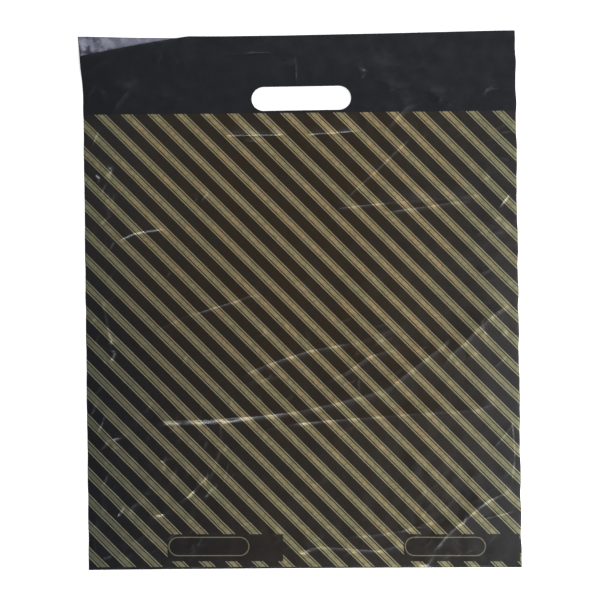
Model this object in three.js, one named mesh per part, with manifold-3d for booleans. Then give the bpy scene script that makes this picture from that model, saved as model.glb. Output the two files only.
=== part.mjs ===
// A flat carrier bag of thin black film, lying on its back with its printed front up.
// One web of film is folded at the bottom and welded down both sides, and its mouth is open.
// A hand slot is punched through both panels, and a stiffening patch is bonded inside each of them.
// Millimetres, +Z up, +X to the right of the front and +Y towards the mouth.
// The origin is on the surface that the bag lies on, under the middle of the bag.

import * as THREE from 'three';
import { mergeVertices } from 'three/addons/utils/BufferGeometryUtils.js';
import Module from 'manifold-3d';

const wasm = await Module();
wasm.setup();

// Bag
const BAG_WIDTH = 400;
const BAG_LENGTH = 495;
const FILM_THICKNESS = 0.05;
const SIDE_WELD = 1; // width of the melted bead down each side
const BOTTOM_FOLD = 0.6; // film pressed flat at the bottom fold
const LENGTH_SKEW = 4.5; // how much longer the right side lies than the left

// Open corner of the mouth, at the left
const CORNER_SPREAD = 4.5; // how far the back panel's corner spreads sideways
const CORNER_REACH = 70; // length of side that the spread takes to fade
const RIM_DIP = 18.5; // how far the front rim has slipped down at the side
const RIM_DIP_LENGTH = 98; // stretch of mouth over which the rim comes back up

// Hand slot
const SLOT_LENGTH = 92;
const SLOT_WIDTH = 22.5;
const SLOT_DROP = 59.3; // from the mouth down to the slot's middle
const SLOT_SHIFT = 2; // to the right of the bag's middle

// Stiffening patches round the slot
const PATCH_WIDTH = 147;
const PATCH_HEIGHT = 76;
const PATCH_THICKNESS = 0.1;
const PATCH_SHIFT = 5; // patch's middle to the right of the slot's middle
const PATCH_RISE = 5.3; // patch's middle above the slot's middle
const BOND_GAP = 0.1; // layer of adhesive between a patch and its panel

// Lie of the front panel over the back one
const LOFT = 2; // height of the front panel where nothing creases it
const EDGE_REACH = 18; // distance from a weld or fold at which the panel reaches that height
const SWELL = 0.6; // height of the broad waves between the creases
const CREASE_WIDTH = 9; // half width of a common crease
const GRID_CELL = 13.5; // longest side of a facet

// Creases in the front panel, as heights in millimetres over a path.
// A place on a path is a share of the half width and the half length, counted from the middle.
const CREASES = [
  // long fold across the lower half, and its two branches
  { height: 2.6, path: [[-0.75, -0.457], [-0.375, -0.448], [-0.02, -0.412], [0.30, -0.351]] },
  { height: 1.6, path: [[0.34, -0.36], [0.507, -0.26], [0.685, -0.142]] },
  { height: 1.6, path: [[-0.02, -0.457], [0.338, -0.432], [0.79, -0.411], [0.90, -0.383]] },
  // folds that rise to the right side
  { height: 2.2, path: [[0.59, -0.306], [0.74, -0.157], [0.99, 0.0]] },
  { height: 1.2, path: [[0.86, -0.566], [0.97, -0.459]] },
  { height: 1.2, path: [[0.85, 0.298], [0.99, 0.237]] },
  // folds across the middle and the upper half
  { height: 1.4, path: [[-0.638, -0.088], [-0.48, -0.037], [-0.239, 0.024]] },
  { height: 0.9, path: [[-0.271, -0.297], [0.259, -0.149], [0.552, -0.069]] },
  { height: 1.4, path: [[-0.856, 0.229], [-0.73, 0.272], [-0.619, 0.279]] },
  { height: 1.2, path: [[0.123, 0.348], [0.508, 0.369], [0.911, 0.384]] },
  { height: 1.0, path: [[0.432, 0.587], [0.347, 0.479], [0.197, 0.379]] },
  // strong fold that cuts off the lower right corner, and a weak one at the lower left
  { height: 2.8, path: [[0.964, -0.702], [0.852, -0.746], [0.716, -0.831], [0.55, -0.985]] },
  { height: 1.2, path: [[-0.607, -0.765], [-0.471, -0.665], [-0.415, -0.58]] },
  // folds beside the mouth
  { height: 1.8, path: [[0.468, 0.803], [0.661, 0.745], [0.79, 0.692]] },
  { height: 1.6, path: [[-0.857, 0.738], [-0.768, 0.819]] },
  { height: 1.4, path: [[-0.99, 0.85], [-0.82, 0.925]] },
];

// Colours of the film and of the patches behind it
const filmMaterial = new THREE.MeshStandardMaterial({ color: 0x26262a, roughness: 0.32, metalness: 0 });
const patchMaterial = new THREE.MeshStandardMaterial({ color: 0x2b2b30, roughness: 0.45, metalness: 0 });

// Places that follow from the sizes
const SIDE = BAG_WIDTH / 2;
const MOUTH = BAG_LENGTH / 2;
const slot = { x: SLOT_SHIFT, y: MOUTH - SLOT_DROP };
const patch = {
  left: slot.x + PATCH_SHIFT - PATCH_WIDTH / 2,
  right: slot.x + PATCH_SHIFT + PATCH_WIDTH / 2,
  low: slot.y + PATCH_RISE - PATCH_HEIGHT / 2,
  high: slot.y + PATCH_RISE + PATCH_HEIGHT / 2,
};
const OVERRUN = 10; // how far a cut runs past what it cuts
const TALL = LOFT * 20; // higher than any crease

// Grid lines of the laid film: one on each border, and even steps between the borders
function gridLines(borders) {
  const lines = [borders[0]];
  for (let i = 1; i < borders.length; i += 1) {
    const span = borders[i] - borders[i - 1];
    const steps = Math.ceil(span / GRID_CELL);
    for (let k = 1; k <= steps; k += 1) {
      lines.push(borders[i - 1] + (span * k) / steps);
    }
  }
  return lines;
}
const columns = gridLines([-SIDE, SIDE_WELD - SIDE, patch.left, patch.right, SIDE - SIDE_WELD, SIDE]);
const rows = gridLines([-MOUTH, BOTTOM_FOLD - MOUTH, patch.low, patch.high, MOUTH]);
const NEAR = 1e-6; // two grid lines this close are the same line
const within = (lines, low, high) => lines.filter((value) => value > low - NEAR && value < high + NEAR);

// Where a place on the flat bag lies: the right side runs longer and the open corner spreads
function layDown(x, y) {
  const longer = 1 + (LENGTH_SKEW / BAG_LENGTH) * (x / BAG_WIDTH);
  const nearCorner = Math.max(0, (y - MOUTH + CORNER_REACH) / CORNER_REACH);
  const towardsSide = Math.max(0, -2 * x / SIDE - 1);
  return [x - CORNER_SPREAD * towardsSide * nearCorner ** 2, y * longer];
}

// Height of one crease over a place: a rounded ridge that fades out at both ends of its path
function creaseHeight(crease, place) {
  const path = crease.path.map(([across, along]) => new THREE.Vector3(across * SIDE, along * MOUTH, 0));
  const nearest = { distance: Infinity, share: 0 };
  for (let i = 1; i < path.length; i += 1) {
    const stretch = new THREE.Line3(path[i - 1], path[i]);
    const t = stretch.closestPointToPointParameter(place, true);
    const distance = stretch.at(t, new THREE.Vector3()).distanceTo(place);
    if (distance < nearest.distance) {
      nearest.distance = distance;
      nearest.share = (i - 1 + t) / (path.length - 1);
    }
  }
  const fade = Math.sqrt(Math.sin(Math.PI * nearest.share));
  return crease.height * fade * Math.exp(-((nearest.distance / CREASE_WIDTH) ** 2));
}

// Broad waves of the slack film
function swellHeight(x, y) {
  const across = Math.sin((Math.PI * (2.3 * x + 0.9 * y)) / SIDE);
  const along = Math.sin((Math.PI * (2.6 * y - 0.8 * x)) / MOUTH);
  return SWELL * across * along;
}

// Outer surface of the front panel: pressed flat at welds and fold, lofted and creased elsewhere
const ease = (share) => (share >= 1 ? 1 : share * (2 - share));
function frontHeight(x, y) {
  const place = new THREE.Vector3(x, y, 0);
  const lift = ease((SIDE - Math.abs(x)) / EDGE_REACH) * ease((y + MOUTH) / EDGE_REACH);
  const creases = CREASES.reduce((sum, crease) => sum + creaseHeight(crease, place), 0);
  return 2 * FILM_THICKNESS + lift * (LOFT + swellHeight(x, y) + creases);
}

// Closed solid between a lower and an upper surface over a field of grid lines.
// A surface given as a number is level, and needs corners only along its border.
function layer(xs, ys, lower, upper) {
  const points = [];
  const faces = [];
  const lastX = xs.length - 1;
  const lastY = ys.length - 1;

  const corners = (surface) => {
    const level = typeof surface === 'number';
    const known = new Map();
    return (i, j) => {
      const key = i * ys.length + j;
      if (!known.has(key)) {
        const height = level ? surface : surface(xs[i], ys[j]);
        known.set(key, points.length);
        points.push([...layDown(xs[i], ys[j]), height]);
      }
      return known.get(key);
    };
  };
  const above = corners(upper);
  const below = corners(lower);

  // one face of the layer; faces that look down are wound the other way round
  const addFace = (a, b, c, up) => faces.push(up ? [a, b, c] : [a, c, b]);
  const cover = (corner, surface, up) => {
    for (let j = 0; j < lastY; j += 1) {
      if (typeof surface !== 'number') {
        for (let i = 0; i < lastX; i += 1) {
          addFace(corner(i, j), corner(i + 1, j), corner(i + 1, j + 1), up);
          addFace(corner(i, j), corner(i + 1, j + 1), corner(i, j + 1), up);
        }
      } else {
        // a level band takes the columns' corners only where it runs along the border
        const lowSteps = j === 0 ? lastX : 1;
        const highSteps = j === lastY - 1 ? lastX : 1;
        for (let i = 0; i < lowSteps; i += 1) {
          const next = lowSteps === 1 ? lastX : i + 1;
          addFace(corner(i, j), corner(next, j), corner(0, j + 1), up);
        }
        for (let i = 0; i < highSteps; i += 1) {
          const next = highSteps === 1 ? lastX : i + 1;
          addFace(corner(lastX, j), corner(next, j + 1), corner(i, j + 1), up);
        }
      }
    }
  };
  cover(above, upper, true);
  cover(below, lower, false);

  // the border, walked so that the solid is on its left
  const border = [];
  for (let i = 0; i < lastX; i += 1) border.push([i, 0]);
  for (let j = 0; j < lastY; j += 1) border.push([lastX, j]);
  for (let i = lastX; i > 0; i -= 1) border.push([i, lastY]);
  for (let j = lastY; j > 0; j -= 1) border.push([0, j]);
  border.forEach((from, k) => {
    const to = border[(k + 1) % border.length];
    faces.push([below(...from), below(...to), above(...to)]);
    faces.push([below(...from), above(...to), above(...from)]);
  });

  const geometry = new THREE.BufferGeometry();
  geometry.setAttribute('position', new THREE.Float32BufferAttribute(points.flat(), 3));
  geometry.setIndex(faces.flat());
  return geometry;
}

// Solids for cutting, from a geometry and back
function solidOf(geometry) {
  const bare = new THREE.BufferGeometry();
  bare.setAttribute('position', geometry.getAttribute('position'));
  bare.setIndex(geometry.getIndex());
  const merged = mergeVertices(bare, 1e-4);
  return new wasm.Manifold(new wasm.Mesh({
    numProp: 3,
    vertProperties: Float32Array.from(merged.getAttribute('position').array),
    triVerts: Uint32Array.from(merged.getIndex().array),
  }));
}
function meshOf(name, solid, material) {
  const { vertProperties, triVerts } = solid.getMesh();
  const geometry = new THREE.BufferGeometry();
  geometry.setAttribute('position', new THREE.BufferAttribute(vertProperties, 3));
  geometry.setIndex(new THREE.BufferAttribute(triVerts, 1));
  geometry.computeVertexNormals();
  const mesh = new THREE.Mesh(geometry, material);
  mesh.name = name;
  return mesh;
}
function prism(outline, bottom, top) {
  const geometry = new THREE.ExtrudeGeometry(outline, { depth: top - bottom, bevelEnabled: false, curveSegments: 12 });
  return solidOf(geometry.translate(0, 0, bottom));
}

// Hand slot: a long hole with round ends, struck through everything at once
function slotPunch() {
  const radius = SLOT_WIDTH / 2;
  const reach = SLOT_LENGTH / 2 - radius;
  const outline = new THREE.Shape();
  outline.absarc(slot.x + reach, slot.y, radius, -Math.PI / 2, Math.PI / 2);
  outline.absarc(slot.x - reach, slot.y, radius, Math.PI / 2, (3 * Math.PI) / 2);
  return prism(outline, -OVERRUN, TALL);
}

// What is missing above the front rim where it has slipped down and bares the back panel
function rimDip() {
  const low = new THREE.Vector2(-SIDE - CORNER_SPREAD, MOUTH - RIM_DIP);
  const high = new THREE.Vector2(RIM_DIP_LENGTH - SIDE, MOUTH);
  const beyond = high.clone().sub(low).setLength(OVERRUN);
  low.sub(beyond);
  high.add(beyond);
  const outline = new THREE.Shape([low, high, new THREE.Vector2(low.x, high.y)]);
  return prism(outline, FILM_THICKNESS * 1.5, TALL);
}

// Film: the laid outside of the bag less its inside, the slot and the slipped corner
function bagFilm() {
  const innerColumns = within(columns, SIDE_WELD - SIDE, SIDE - SIDE_WELD);
  const innerRows = [...within(rows, BOTTOM_FOLD - MOUTH, MOUTH), MOUTH + OVERRUN];
  const innerHeight = (x, y) => frontHeight(x, y) - FILM_THICKNESS;
  const outside = solidOf(layer(columns, rows, 0, frontHeight));
  const inside = solidOf(layer(innerColumns, innerRows, FILM_THICKNESS, innerHeight));
  return outside.subtract(inside).subtract(slotPunch()).subtract(rimDip());
}

// Patches: the front one follows its panel's underside, the back one lies level on its panel
const patchColumns = within(columns, patch.left, patch.right);
const patchRows = within(rows, patch.low, patch.high);
function frontPatch() {
  const upper = (x, y) => frontHeight(x, y) - FILM_THICKNESS - BOND_GAP;
  const lower = (x, y) => upper(x, y) - PATCH_THICKNESS;
  return solidOf(layer(patchColumns, patchRows, lower, upper)).subtract(slotPunch());
}
function backPatch() {
  const lower = FILM_THICKNESS + BOND_GAP;
  return solidOf(layer(patchColumns, patchRows, lower, lower + PATCH_THICKNESS)).subtract(slotPunch());
}

const carrierBag = new THREE.Group();
carrierBag.add(
  meshOf('bag_film', bagFilm(), filmMaterial),
  meshOf('front_handle_patch', frontPatch(), patchMaterial),
  meshOf('back_handle_patch', backPatch(), patchMaterial),
);

export default carrierBag;
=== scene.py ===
# %% [markdown]
# # A creased carrier bag of black film
#
# The bag lies on its back on a white table and is seen from straight above. It is one long web of
# thin film, folded at the bottom and welded down both sides, with a hand slot punched near its open
# mouth. What makes it look real is very little height in the right places: sharp creases that catch
# the light, puckered welds, and a gold stripe print that follows the film. So the lesson spends its
# effort on a mesh that is dense along the creases, and on a print that is worked out from sizes.

# %% Load the imported model, with a helper for a part's box
import math

import bmesh
import bpy
import numpy as np
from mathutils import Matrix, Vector, geometry, noise


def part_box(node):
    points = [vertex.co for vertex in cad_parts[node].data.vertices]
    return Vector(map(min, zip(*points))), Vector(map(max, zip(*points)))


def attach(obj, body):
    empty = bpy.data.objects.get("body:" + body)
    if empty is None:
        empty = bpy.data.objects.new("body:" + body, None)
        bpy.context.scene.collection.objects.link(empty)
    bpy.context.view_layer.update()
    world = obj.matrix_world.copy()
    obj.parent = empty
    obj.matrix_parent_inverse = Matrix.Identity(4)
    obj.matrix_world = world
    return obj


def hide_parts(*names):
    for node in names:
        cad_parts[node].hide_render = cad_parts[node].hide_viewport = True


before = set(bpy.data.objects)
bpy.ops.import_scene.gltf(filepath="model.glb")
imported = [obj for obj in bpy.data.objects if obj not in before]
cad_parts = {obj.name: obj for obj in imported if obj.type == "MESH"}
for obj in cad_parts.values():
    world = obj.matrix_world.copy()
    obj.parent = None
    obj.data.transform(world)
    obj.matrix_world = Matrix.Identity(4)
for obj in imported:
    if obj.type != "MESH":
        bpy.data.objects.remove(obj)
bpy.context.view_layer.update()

MM = 0.001

# %% [markdown]
# ## Camera
#
# The picture was taken from straight above, with the bag turned a little less than one degree. The
# lens could be any length, because the bag is flat, so a long one is used: it keeps the edges
# straight. Its length follows from the height and from the width of table that the picture shows.

# %% Camera straight above the bag
PICTURE_POINTS = 600
POINT = 0.926 * MM  # table covered by one point of the picture
CAMERA_HEIGHT = 1.2
SENSOR = 36.0
BAG_TURN = math.radians(0.7)
BAG_OFF_CENTRE = (1.5 * MM, -1.3 * MM)  # bag's middle from the middle of the picture

camera_data = bpy.data.cameras.new("overhead_camera")
camera_data.sensor_width = SENSOR
camera_data.lens = SENSOR * CAMERA_HEIGHT / (PICTURE_POINTS * POINT)
camera = bpy.data.objects.new("overhead_camera", camera_data)
camera.location = (-BAG_OFF_CENTRE[0], -BAG_OFF_CENTRE[1], CAMERA_HEIGHT)
camera.rotation_euler = (0, 0, -BAG_TURN)
bpy.context.scene.collection.objects.link(camera)
bpy.context.scene.camera = camera
print("lens %.1f mm at %.2f m" % (camera_data.lens, CAMERA_HEIGHT))

# %% [markdown]
# ## Node helpers
#
# Every finish below is built from shader nodes. A few small helpers keep those cells readable: they
# add a node and fill its sockets, do arithmetic, blend two colours, and make soft steps and ramps.

# %% Helpers for shader nodes
def add_node(tree, kind, inputs=None, **settings):
    """Adds a node. A socket is given as a value, or as another node's output to link from."""
    node = tree.nodes.new(kind)
    for key, value in settings.items():
        setattr(node, key, value)
    for key, value in (inputs or {}).items():
        if isinstance(value, bpy.types.NodeSocket):
            tree.links.new(value, node.inputs[key])
        else:
            node.inputs[key].default_value = value
    return node


def calc(tree, operation, *values):
    """Arithmetic on sockets and numbers."""
    inputs = dict(enumerate(values))
    return add_node(tree, "ShaderNodeMath", inputs, operation=operation).outputs[0]


def blend_colours(tree, share, first, second):
    """The first colour where share is 0 and the second where it is 1."""
    node = add_node(tree, "ShaderNodeMix", {"Factor": share}, data_type="RGBA")
    for name, colour in (("A", first), ("B", second)):
        socket = next(s for s in node.inputs if s.name == name and s.type == "RGBA")
        if isinstance(colour, bpy.types.NodeSocket):
            tree.links.new(colour, socket)
        else:
            socket.default_value = (*colour, 1)
    return next(s for s in node.outputs if s.type == "RGBA")


def step_down(tree, value, edge, softness):
    """1 below the edge and 0 above it, with a soft change."""
    inputs = {"Value": value, "From Min": edge - softness, "From Max": edge + softness}
    inputs.update({"To Min": 1.0, "To Max": 0.0})
    return add_node(tree, "ShaderNodeMapRange", inputs, interpolation_type="SMOOTHSTEP").outputs[0]


def spread_range(tree, value, low, high, to_low, to_high):
    """A ramp: to_low where the value is low, to_high where it is high, and level beyond."""
    inputs = {"Value": value, "From Min": low, "From Max": high, "To Min": to_low, "To Max": to_high}
    return add_node(tree, "ShaderNodeMapRange", inputs).outputs[0]


def new_material(name):
    """An empty node tree with a principled surface."""
    material = bpy.data.materials.new(name)
    material.use_nodes = True
    tree = material.node_tree
    tree.nodes.clear()
    surface = add_node(tree, "ShaderNodeBsdfPrincipled")
    output = add_node(tree, "ShaderNodeOutputMaterial")
    tree.links.new(surface.outputs[0], output.inputs["Surface"])
    return material, tree, surface


print("node helpers ready")

# %% [markdown]
# ## Table and light
#
# A black film shows the room more than itself: its flat parts mirror what is above them, and its
# creases mirror what is beside them. The main lamp is a soft box at the right, so that the right of
# the bag is brighter than the left, with a dim wall behind it. Three more stand beyond the mouth,
# beyond the foot and at the lower right corner: each picks out the creases whose flanks face it. The
# table glows white for the camera and for mirrors and still takes the bag's shadow. It is very wide
# and has a raised rim, so that a low view ends in white too, while the room above stays dim.

# %% Table, room and lamps
TABLE_RADIUS = 20.0
TABLE_ROUGHNESS = 0.9
RIM_HEIGHT = 4.0
RIM_POINTS = 64
TABLE_GAP = 0.15 * MM
TABLE_GREY = 0.85
TABLE_GLOW = 0.62
FAR_GLOW = 1.0  # away from the lamps the table has to be white by itself
NEAR_TABLE, FAR_TABLE = 0.45, 1.0  # the glow rises between these distances from the bag
ROOM_LEVEL = 0.165
ROOM_COLOUR = (0.86, 0.92, 1.0)


def shows_directly(tree):
    """1 where the camera sees a surface, also in a mirror or through glass, and 0 for its light."""
    path = add_node(tree, "ShaderNodeLightPath").outputs
    seen = calc(tree, "MAXIMUM", path["Is Camera Ray"], path["Is Glossy Ray"])
    return calc(tree, "MAXIMUM", seen, path["Is Transmission Ray"])


def make_table():
    mesh = bpy.data.meshes.new("table")
    turns = [2 * np.pi * i / RIM_POINTS for i in range(RIM_POINTS)]
    ring = [(TABLE_RADIUS * np.cos(turn), TABLE_RADIUS * np.sin(turn)) for turn in turns]
    points = [(x, y, -TABLE_GAP) for x, y in ring] + [(x, y, RIM_HEIGHT) for x, y in ring]
    following = [(i + 1) % RIM_POINTS for i in range(RIM_POINTS)]
    wall = [(i, j, j + RIM_POINTS, i + RIM_POINTS) for i, j in enumerate(following)]
    mesh.from_pydata(points, [], [tuple(range(RIM_POINTS))] + wall)
    table = bpy.data.objects.new("table", mesh)
    bpy.context.scene.collection.objects.link(table)
    material, tree, surface = new_material("white_table")
    surface.inputs["Base Color"].default_value = (TABLE_GREY, TABLE_GREY, TABLE_GREY, 1)
    surface.inputs["Roughness"].default_value = TABLE_ROUGHNESS
    surface.inputs["Emission Color"].default_value = (1, 1, 1, 1)
    place = add_node(tree, "ShaderNodeTexCoord").outputs["Object"]
    distance = add_node(tree, "ShaderNodeVectorMath", {0: place}, operation="LENGTH").outputs["Value"]
    level = spread_range(tree, distance, NEAR_TABLE, FAR_TABLE, TABLE_GLOW, FAR_GLOW)
    glow = calc(tree, "MULTIPLY", shows_directly(tree), level)
    tree.links.new(glow, surface.inputs["Emission Strength"])
    mesh.materials.append(material)
    return table


def make_room():
    world = bpy.data.worlds.new("room")
    world.use_nodes = True
    tree = world.node_tree
    tree.nodes.clear()
    dim = add_node(tree, "ShaderNodeBackground", {"Color": (*ROOM_COLOUR, 1), "Strength": ROOM_LEVEL})
    output = add_node(tree, "ShaderNodeOutputWorld")
    tree.links.new(dim.outputs[0], output.inputs["Surface"])
    bpy.context.scene.world = world


def soft_box(name, place, aim, size, power, colour):
    data = bpy.data.lights.new(name, "AREA")
    data.shape = "RECTANGLE"
    data.size, data.size_y = size
    data.energy = power
    data.color = colour
    lamp = bpy.data.objects.new(name, data)
    lamp.location = place
    lamp.rotation_euler = (Vector(aim) - Vector(place)).to_track_quat("-Z", "Y").to_euler()
    bpy.context.scene.collection.objects.link(lamp)
    return lamp


make_table()
make_room()
soft_box("right_lamp", (1.15, -0.06, 0.80), (0, -0.02, 0), (0.45, 0.50), 10.7, (1.0, 0.98, 0.95))
soft_box("mouth_lamp", (0.14, 0.95, 0.80), (0.05, 0.1, 0), (0.7, 0.30), 7.4, (0.86, 0.90, 1.0))
soft_box("foot_lamp", (0.10, -0.95, 0.62), (-0.02, -0.1, 0), (0.7, 0.10), 4.8, (0.90, 0.93, 1.0))
soft_box("corner_lamp", (0.66, -0.74, 0.60), (0.05, -0.1, 0), (0.30, 0.25), 1.8, (0.96, 0.97, 1.0))
soft_box("right_wall", (0.90, -0.50, 1.30), (0, 0, 0), (0.90, 1.50), 2.5, (0.97, 0.98, 1.0))
bpy.context.scene.view_settings.view_transform = "Standard"
print("table and lamps ready")

# %% [markdown]
# ## Sizes of the bag
#
# All places on the film are written in millimetres from the bag's middle: x to the right of the
# front, y towards the mouth. They are the sizes of the solid model, whose box is printed here for
# comparison, and the few bends of the outline that only the eye needs.

# %% Sizes and places
WIDTH = 400.0
LENGTH = 495.0
SIDE = WIDTH / 2
MOUTH = LENGTH / 2
FILM = 0.05
LENGTH_SKEW = 4.5  # how much longer the right side lies than the left
MOUTH_BOW = 1.3  # how far the mouth bows inwards at the middle
BOTTOM_BOW = 0.4  # how far the bottom fold does
RIGHT_SPREAD = 0.7  # how far the puckered right weld spreads
CORNER_RISE = 1.3  # how far the open corner of the mouth reaches up
CORNER_SPREAD = 4.5  # how far the open corner of the mouth spreads to the left
CORNER_REACH = 70.0
RIM_DIP = 18.5  # how far the front rim has slipped down at the left side
RIM_DIP_LENGTH = 98.0
BACK_RIM_LOW = 1.5  # the back panel ends this much lower than the front one
SLOT_LENGTH = 92.0
SLOT_WIDTH = 22.5
SLOT_MIDDLE = (2.0, MOUTH - 59.3)
PATCH_SIZE = (147.0, 76.0)
PATCH_MIDDLE = (SLOT_MIDDLE[0] + 5.0, SLOT_MIDDLE[1] + 5.3)
PATCH_FILM = 0.1

film_low, film_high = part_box("bag_film")
print("solid %.1f mm wide, %.1f mm long" % tuple((film_high[i] - film_low[i]) / MM for i in range(2)))

# %% [markdown]
# ## Creases
#
# A crease in film is a small step: one steep, narrow flank that catches the light and one that runs out
# gently, on top of a broad swelling. Each one below is a path over the front panel with three sizes: the
# height of the broad fold, which the solid model has too, and the slope and width of the steep flank. Where
# the height is 0 there is a flank alone. The flank faces the lower right, as on the real bag. The paths
# were drawn one by one.

# %% The creases of the front panel
# broad height, slope of the steep flank, its width, path
CREASES = [
    # long fold across the lower half and its branches
    (2.6, 0.375, 5.5, [(-142, -110), (-123, -109), (-75, -108), (-36, -104)]),
    (2.6, 0.26, 6.0, [(-66, -108), (-31, -104), (-4, -101), (30, -94), (62, -86), (84, -80)]),
    (1.6, 0.235, 4.5, [(-24, -114), (22, -110), (68, -107), (115, -104), (158, -102), (181, -95)]),
    (1.6, 0.25, 4.0, [(68, -90), (101, -64), (129, -43), (137, -35)]),
    # folds that rise to the right side
    (2.2, 0.28, 4.0, [(126, -64), (140, -48), (150, -40), (161, -28), (174, -17), (182, -11), (196, -3)]),
    (0.0, 0.26, 2.0, [(174, -65), (190, -52)]),
    (1.2, 0.26, 2.0, [(173, -140), (186, -125), (195, -113)]),
    (1.2, 0.32, 2.7, [(165, 76), (180, 69), (196, 60)]),
    (0.0, 0.28, 2.4, [(181, 82), (188, 90), (196, 100)]),
    (0.0, 0.26, 2.0, [(184, 154), (199, 155)]),
    # soft faint folds across the middle
    (0.9, 0.12, 5.5, [(-67, -73), (-44, -62), (-19, -53), (7, -45), (32, -41), (52, -38), (110, -17)]),
    (0.0, 0.17, 4.5, [(-66, -76), (-38, -72), (-14, -67)]),
    (0.0, 0.155, 4.5, [(-56, -68), (-44, -62), (-19, -53), (7, -45), (32, -41), (62, -35)]),
    (0.0, 0.28, 4.0, [(16, -77), (40, -66), (62, -51), (92, -43)]),
    (0.0, 0.22, 2.0, [(59, -25), (82, -21)]),
    (1.4, 0.16, 3.0, [(-138, -26), (-126, -21), (-112, -14), (-80, -4)]),
    (0.0, 0.28, 2.8, [(-104, -12), (-79, -4), (-61, 1), (-48, 6), (-34, 5)]),
    # upper half
    (1.4, 0.42, 3.0, [(-174, 56), (-155, 65), (-146, 67), (-116, 70)]),
    (1.2, 0.40, 3.4, [(25, 85), (55, 88), (90, 91), (125, 94), (171, 96)]),
    (0.0, 0.40, 3.4, [(74, 81), (90, 83), (122, 87), (143, 90), (158, 91)]),
    (1.0, 0.25, 2.4, [(104, 152), (85, 134), (69, 119), (55, 107), (39, 92)]),
    (0.0, 0.29, 2.0, [(-94, 92), (-84, 104)]),
    (0.0, 0.23, 3.2, [(-187, 10), (-183, -8), (-179, -28), (-176, -46)]),
    # strong fold that cuts off the lower right corner, and its neighbours
    (2.8, 0.215, 3.4, [(193, -173), (185, -179), (170, -185), (156, -196), (132, -216), (114, -238)]),
    (0.0, 0.20, 2.2, [(192, -108), (195, -142), (191, -174)]),
    (0.0, 0.30, 2.0, [(198, -194), (180, -199), (160, -203)]),
    (0.0, 0.16, 4.0, [(30, -218), (60, -217), (88, -213), (112, -206), (135, -200)]),
    (0.0, 0.14, 4.0, [(-6, -231), (14, -227), (67, -231), (95, -225)]),
    # lower left
    (1.2, 0.18, 3.2, [(-123, -190), (-106, -178), (-94, -165), (-82, -155)]),
    (0.0, 0.10, 3.0, [(-90, -174), (-83, -151), (-75, -128)]),
    (0.0, 0.12, 2.0, [(-76, -172), (-68, -142)]),
    (0.0, 0.18, 3.4, [(-175, -200), (-165, -186)]),
    (0.0, 0.17, 3.4, [(-142, -197), (-125, -195)]),
    (0.0, 0.23, 3.4, [(-187, -127), (-163, -123)]),
    (0.0, 0.31, 2.0, [(-197, -213), (-193, -234)]),
    # along the edges of the handle patch
    (0.0, 0.56, 2.0, [(-73, 155), (-46, 155), (-10, 155)]),
    (0.0, 0.42, 1.8, [(-57, 150), (-30, 149)]),
    (0.0, 0.54, 2.0, [(1, 154.5), (32, 156), (58, 158)]),
    (0.0, 0.11, 1.8, [(-68, 229), (-48, 230), (-25, 232)]),
    # beside the mouth
    (1.8, 0.16, 8.0, [(92, 199), (120, 192), (132, 184), (141, 180), (160, 171)]),
    (0.0, 0.19, 7.0, [(72, 150), (87, 166), (98, 178), (112, 188)]),
    (0.0, 0.36, 2.4, [(-3, 228), (-3, 201)]),
    (0.0, 0.12, 9.0, [(82, 232), (82, 205), (86, 180)]),
    (1.6, 0.14, 7.0, [(-178, 172), (-165, 190), (-148, 210)]),
    (1.4, 0.12, 3.4, [(-201, 213), (-164, 231)]),
    (0.0, 0.30, 2.7, [(-200, 189), (-187, 203)]),
    (0.0, 0.31, 2.0, [(-195, 142), (-184, 165)]),
]
print(len(CREASES), "creases")

# %% [markdown]
# Between the creases the film is crinkled: short, shallow ridges, crowded where the bag was gripped
# or pressed, at the lower corners, beside the slot and along the welds. One by one they do not
# matter, so they are scattered by a seeded random generator within a few zones.

# %% Fine crinkles
CRINKLE_SEED = 11
CRINKLE_LENGTHS = (7, 24)
CRINKLE_WIDTHS = (1.4, 3.8)
CRINKLE_BEND = 0.12  # usual bend as a share of the length
FAINTEST = 0.3  # least slope as a share of the zone's steepest
USUAL_TURN = 0.6  # usual turn from the main direction as a share of the spread
# middle of a zone, its half size, number of crinkles, main direction in degrees,
# spread of the direction, steepest slope
CRINKLE_ZONES = [
    ((-140, -165), (58, 75), 64, 30, 50, 0.15),
    ((-105, -130), (40, 40), 26, 75, 22, 0.20),
    ((150, -195), (48, 48), 44, 28, 35, 0.17),
    ((20, -222), (130, 20), 30, 8, 16, 0.14),
    ((105, 175), (50, 40), 22, 40, 60, 0.16),
    ((182, 90), (16, 130), 24, 15, 30, 0.22),
    ((-186, 0), (12, 165), 32, 60, 35, 0.42),
    ((-155, 195), (42, 32), 8, 45, 25, 0.18),
    ((60, -60), (120, 60), 18, 22, 14, 0.24),
    ((0, 20), (190, 200), 18, 15, 60, 0.24),
]


def scatter_crinkles(seed):
    random = np.random.default_rng(seed)
    crinkles = []
    for middle, half, count, direction, spread, steepest in CRINKLE_ZONES:
        for _ in range(count):
            x, y = np.array(middle) + random.uniform(-1, 1, 2) * half
            angle = math.radians(direction + random.normal(0, spread * USUAL_TURN))
            length = random.uniform(*CRINKLE_LENGTHS)
            bend = random.normal(0, CRINKLE_BEND) * length
            run = np.array([math.cos(angle), math.sin(angle)]) * length / 2
            side = np.array([-run[1], run[0]]) / length * bend
            here = np.array([x, y])
            path = [tuple(here - run), tuple(here + side), tuple(here + run)]
            slope = random.uniform(FAINTEST, 1.0) * steepest
            crinkles.append((0.0, slope, random.uniform(*CRINKLE_WIDTHS), path))
    return crinkles


CRINKLES = scatter_crinkles(CRINKLE_SEED)
print(len(CRINKLES), "crinkles")

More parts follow.
